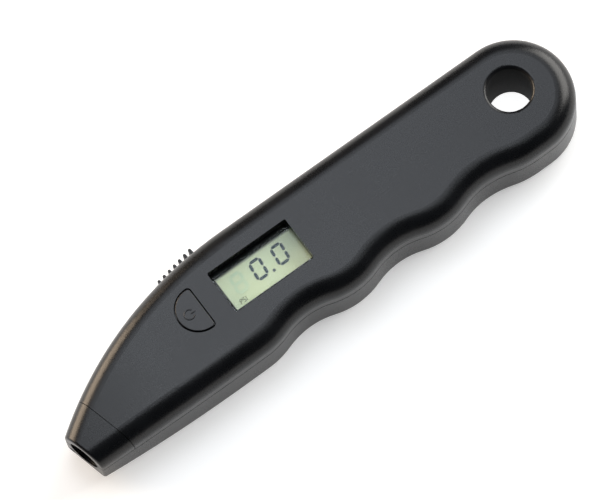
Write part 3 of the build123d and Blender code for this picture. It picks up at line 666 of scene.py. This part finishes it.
# ================================================================ the display
PANEL_STEP = 1.0 * MM
PANEL_GAP = 0.06 * MM
PANEL_EDGE = 0.04 * MM
INK_THICK = 0.03 * MM
DIGIT_HIGH = 5.15 * MM
DIGIT_WIDE = 3.0 * MM
DIGIT_FOOT = -1.95 * MM
DIGIT_LEFTS = (-82.9 * MM, -76.0 * MM)
UNLIT_LEFT = -89.2 * MM
DOT_MIDDLE, DOT_HALF = Vector((-78.1 * MM, -2.1 * MM)), 0.38 * MM
STROKE = 0.82 * MM
LEAN = 0.09
UNIT_LEFT, UNIT_FOOT, UNIT_PITCH = -90.3 * MM, -4.6 * MM, 0.95 * MM
UNIT_HIGH, UNIT_WIDE, UNIT_STROKE = 1.3 * MM, 0.6 * MM, 0.24 * MM
FIGURES = {"0": "abcdef", "8": "abcdefg", "P": "abefg", "S": "acdfg", "I": "ef"}


def display_stack():
    """The crystal panel, a hair thinner than its solid so that its figures lie under the window."""
    low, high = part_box("lcd_panel")
    middle = (low.z + high.z) / 2

    def build(bm):
        plate(bm, box_outline(low.x, low.y + PANEL_STEP, high.x, high.y - PANEL_STEP), low.z, middle)
        plate(bm, box_outline(low.x, low.y, high.x, high.y), middle, high.z - PANEL_GAP)
        bmesh.ops.bevel(bm, geom=list(bm.edges), offset=PANEL_EDGE, segments=1, affect="EDGES")

    piece_from("crystal_panel", build, "casing", "lcd", FINISHES["lcd"], "lcd_panel")


def bar(start, end, wide):
    """A segment's outline: a bar between two points with mitred ends."""
    along = (end - start).normalized()
    painted_sheen = Vector((-along.y, along.x)) * wide / 2
    inset = along * wide / 2
    a, b = start + inset * 0.14, end - inset * 0.14
    return [a, a + inset - painted_sheen, b - inset - painted_sheen, b, b - inset + painted_sheen, a + inset + painted_sheen]


def digit(figure, left, low, high, wide, stroke):
    """The outlines of one figure's segments, from its lower left corner."""
    right, mid, top = left + wide, low + high / 2, low + high
    segments = {
        "a": ((left, top), (right, top)),
        "b": ((right, mid), (right, top)),
        "c": ((right, low), (right, mid)),
        "d": ((left, low), (right, low)),
        "e": ((left, low), (left, mid)),
        "f": ((left, mid), (left, top)),
        "g": ((left, mid), (right, mid)),
    }
    outlines = []
    for key in FIGURES[figure]:
        start, end = (Vector(point) for point in segments[key])
        gap = (end - start).normalized() * stroke * 0.08
        outline = bar(start + gap, end - gap, stroke)
        outlines.append([(point.x + LEAN * (point.y - low), point.y) for point in outline])
    return outlines


def display_figures():
    """The reading 0.0 with its unit below, and an unlit figure ahead of it."""
    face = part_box("lcd_panel")[1].z

    def ink(name, outlines, finish):
        def build(bm):
            for outline in outlines:
                plate(bm, outline, face, face + INK_THICK)
        piece_from(name, build, "casing", "lcd", finish)

    lit = []
    for left in DIGIT_LEFTS:
        lit += digit("0", left, DIGIT_FOOT, DIGIT_HIGH, DIGIT_WIDE, STROKE)
    x, y = DOT_MIDDLE
    lit.append(box_outline(x - DOT_HALF, y - DOT_HALF, x + DOT_HALF, y + DOT_HALF))
    unit = []
    for i, letter in enumerate("PSI"):
        unit += digit(letter, UNIT_LEFT + i * UNIT_PITCH, UNIT_FOOT, UNIT_HIGH, UNIT_WIDE, UNIT_STROKE)
    ink("display_reading", lit, SEGMENT)
    ink("display_unit", unit, MARK)
    ink("display_unlit", digit("8", UNLIT_LEFT, DIGIT_FOOT, DIGIT_HIGH, DIGIT_WIDE, STROKE), GHOST)


# ================================================================ the button's sign
SIGN_CENTRE = Vector((-103.4, 0.0)) * MM
SIGN_RADIUS = 1.35 * MM
SIGN_OPENING = math.radians(34)
SIGN_TUBE, SIGN_FLATNESS, SIGN_SINK = 0.19 * MM, 0.75, 0.03 * MM
SIGN_TURNS, SIGN_SIDES = 40, 10
# the short stroke's points, as shares of the ring's radius
SIGN_STROKE = (0.35, 0.7, 1.05, 1.4)


def power_sign():
    """A raised power sign on the button: an open ring and a short stroke."""
    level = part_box("power_button")[1].z - SIGN_SINK

    def sweep(bm, path):
        rings = []
        for i, point in enumerate(path):
            ahead = path[min(i + 1, len(path) - 1)] - path[max(i - 1, 0)]
            painted_sheen = Vector((-ahead.y, ahead.x)).normalized()
            ring = []
            for k in range(SIGN_SIDES):
                a = FULL_TURN * k / SIGN_SIDES
                spot = point + painted_sheen * math.cos(a) * SIGN_TUBE
                height = level + math.sin(a) * SIGN_TUBE * SIGN_FLATNESS
                ring.append(bm.verts.new((spot.x, spot.y, height)))
            rings.append(ring)
        for one, two in zip(rings, rings[1:]):
            for k in range(SIGN_SIDES):
                m = (k + 1) % SIGN_SIDES
                bm.faces.new((one[k], one[m], two[m], two[k]))
        bm.faces.new(list(reversed(rings[0])))
        bm.faces.new(rings[-1])

    def build(bm):
        step = (FULL_TURN - 2 * SIGN_OPENING) / SIGN_TURNS
        arc = [SIGN_OPENING + step * i for i in range(SIGN_TURNS + 1)]
        sweep(bm, [SIGN_CENTRE + Vector((math.cos(a), math.sin(a))) * SIGN_RADIUS for a in arc])
        sweep(bm, [SIGN_CENTRE + Vector((SIGN_RADIUS * reach, 0)) for reach in SIGN_STROKE])
        bmesh.ops.recalc_face_normals(bm, faces=bm.faces)

    shade_smooth(piece_from("power_sign", build, "power_button", "button", FINISHES["button"]), 50)


# ================================================================ screws
# set, node, then in mm: seat's height, shank radius, head radius, head thickness, point's height, places
SCREWS = [
    ("housing_screw_set", "housing_screws", 3.2, 1.2, 2.3, 1.6, 15.0,
     [(-112.0, -13.0), (-62.0, 9.9), (-63.0, -12.6), (-15.0, 8.6), (-14.0, -9.4)]),
    ("board_screw_set", "board_screws", 10.7, 0.9, 1.7, 1.0, 14.6,
     [(-60.5, -1.5), (-29.5, 5.2)]),
]
SCREW_STEPS = 40
PLAIN_SHANK = 0.9 * MM


def screw_mesh(name, shank, head, thick, length):
    """One pan-head screw, head down at z = 0 and shank upwards: a dome, a cross recess and a thread."""
    pitch, core, crest = shank * 0.75, shank * 0.8, shank * 0.99
    profile = [(0.0, -thick), (head * 0.55, -thick * 0.96), (head * 0.86, -thick * 0.74)]
    profile += [(head, -thick * 0.36), (head, -thick * 0.02), (shank, 0.0)]
    for i in range(int(length / pitch)):
        z = PLAIN_SHANK + i * pitch
        if z + pitch < length - shank:
            profile += [(core, z), (crest, z + pitch * 0.45), (crest, z + pitch * 0.55)]
    profile += [(core, length - shank), (0.0, length)]

    def turned(bm):
        lathe(bm, profile, SCREW_STEPS)
        bmesh.ops.recalc_face_normals(bm, faces=bm.faces)

    def cross(bm):
        reach, half = head * 0.56, head * 0.13
        for x, y in ((reach, half), (half, reach)):
            plate(bm, box_outline(-x, -y, x, y), -thick * 1.3, -thick * 0.45)

    blank = placed(name, mesh_from(name, turned))
    tool = placed(name + "_cross", mesh_from(name + "_cross", cross))
    cut = blank.modifiers.new("cross", "BOOLEAN")
    cut.operation = "DIFFERENCE"
    cut.object = tool
    cut.use_self = True
    mesh = worked(blank)
    bpy.data.objects.remove(tool)
    bpy.data.objects.remove(blank)
    mesh.name = name
    return mesh


def screw_sets():
    """The same screw at each of a set's places, each turned a different way."""
    for name, node, *sizes, places in SCREWS:
        seat, shank, head, thick, point = (size * MM for size in sizes)
        pattern = placed(name + "_one", screw_mesh(name + "_one", shank, head, thick, point - seat))
        growth = Growth(name)
        height = growth.size("seat height", seat)
        spread = growth.size("turn of one screw to the next", 0.7)
        spots = []
        for x, y in places:
            start = growth.vector(x * MM, y * MM, height)
            spots.append(growth.shape("GeometryNodeMeshLine", {"Count": 1, "Start Location": start}))
        screw = growth.node("GeometryNodeObjectInfo", {"Object": pattern}).outputs["Geometry"]
        turn = growth.vector(0.0, 0.0, growth.math("MULTIPLY", growth.index(), spread))
        screws = growth.on_points(growth.joined(*spots), screw, Rotation=turn)
        piece = growth.grown(screws, FINISHES["screw"], name)
        bpy.data.objects.remove(pattern)
        settle(piece, "casing", "screw", FINISHES["screw"], node)
        shade_smooth(piece, 40)


# ================================================================ the battery door's marks
DOOR_CENTRE = Vector((-40.0, -1.2, 0.0)) * MM
DOOR_FACE = 0.15 * MM
ARROW_NEAR, ARROW_FAR, ARROW_BARB = 4.9 * MM, 5.5 * MM, 0.9 * MM
ARROW_TAIL, ARROW_NECK, ARROW_POINT = math.radians(235), math.radians(295), math.radians(311)
ARROW_STEPS = 12
ARROW_LOW, ARROW_HIGH = 0.05 * MM, 0.2 * MM


def door_grip():
    """A ring of fine ridges round the battery door, for fingertips."""
    growth = Growth("battery door grip")
    count = growth.size("ridges", 48, "NodeSocketInt")
    radius = growth.size("ring radius", 10.4 * MM)
    long = growth.size("ridge length", 1.7 * MM)
    wide = growth.size("ridge width", 0.5 * MM)
    tall = growth.size("ridge height", 0.2 * MM)
    ring = growth.shape("GeometryNodeMeshCircle", {"Vertices": count, "Radius": radius})
    rod = growth.shape("GeometryNodeMeshCylinder", {"Vertices": 8, "Radius": 0.5, "Depth": 1.0})
    laid = growth.shape("GeometryNodeTransform", {"Geometry": rod, "Rotation": (0, math.pi / 2, 0)})
    turn = growth.math("MULTIPLY", growth.index(), growth.math("DIVIDE", FULL_TURN, count))
    values = {"Rotation": growth.vector(0.0, 0.0, turn), "Scale": growth.vector(long, wide, tall)}
    piece = growth.grown(growth.on_points(ring, laid, **values), FINISHES["door"], "door_grip")
    piece.data.transform(Matrix.Translation(DOOR_CENTRE + Vector((0, 0, DOOR_FACE))))
    weld(piece.data)
    shade_smooth(piece)
    settle(piece, "battery_door", "door", FINISHES["door"])


def door_arrow():
    """A raised curved arrow on the battery door that shows which way it turns."""
    step = (ARROW_NECK - ARROW_TAIL) / ARROW_STEPS
    bend = [ARROW_TAIL + step * i for i in range(ARROW_STEPS + 1)]
    middle = (ARROW_NEAR + ARROW_FAR) / 2
    corners = [(ARROW_FAR, a) for a in bend]
    corners += [(middle + ARROW_BARB, ARROW_NECK), (middle, ARROW_POINT), (middle - ARROW_BARB, ARROW_NECK)]
    corners += [(ARROW_NEAR, a) for a in reversed(bend)]
    outline = [(radius * math.cos(a), radius * math.sin(a)) for radius, a in corners]

    def build(bm):
        plate(bm, outline, ARROW_LOW, ARROW_HIGH, Matrix.Translation(DOOR_CENTRE))

    piece_from("door_arrow", build, "battery_door", "door", FINISHES["door"])


# ================================================================ floor
TABLE_HALF = 3.0
TABLE_THICK = 20 * MM
TABLE_GAP = 0.02 * MM
# the painted pool of light under the hanging hole: where it starts to fade and where it is gone
POOL_INNER, POOL_OUTER = 6.5 * MM, 9.0 * MM


def lay_floor():
    """A plain pale light table: it glows a little all over, and a painted pool of light glows brighter under
    the hanging hole.
    """
    square = box_outline(-TABLE_HALF, -TABLE_HALF, TABLE_HALF, TABLE_HALF)
    floor = placed("table", mesh_from("table", lambda bm: plate(bm, square, -TABLE_THICK, -TABLE_GAP)))
    p = Paint("pale light table", **{"IOR": 1.2, "Roughness": 0.9, "Emission Strength": 1.0})
    # painted light: the table glows brighter in a patch under the hanging hole, so the hole shows white
    painted_light_pool = 1.0 - p.from_hole().ramp(POOL_INNER, POOL_OUTER)
    p.set(Base_Color=p.mix(p.noise(0.4, 2.0), (0.67, 0.67, 0.67), (0.70, 0.70, 0.70)))
    p.set(Emission_Color=p.mix(painted_light_pool, (0.42, 0.42, 0.42), (0.95, 0.95, 0.95)))
    dress(floor, p.material)


aim_camera()
light_studio()
lay_floor()
dress_nodes()
thumb_pad()
display_stack()
display_figures()
power_sign()
screw_sets()
door_grip()
door_arrow()
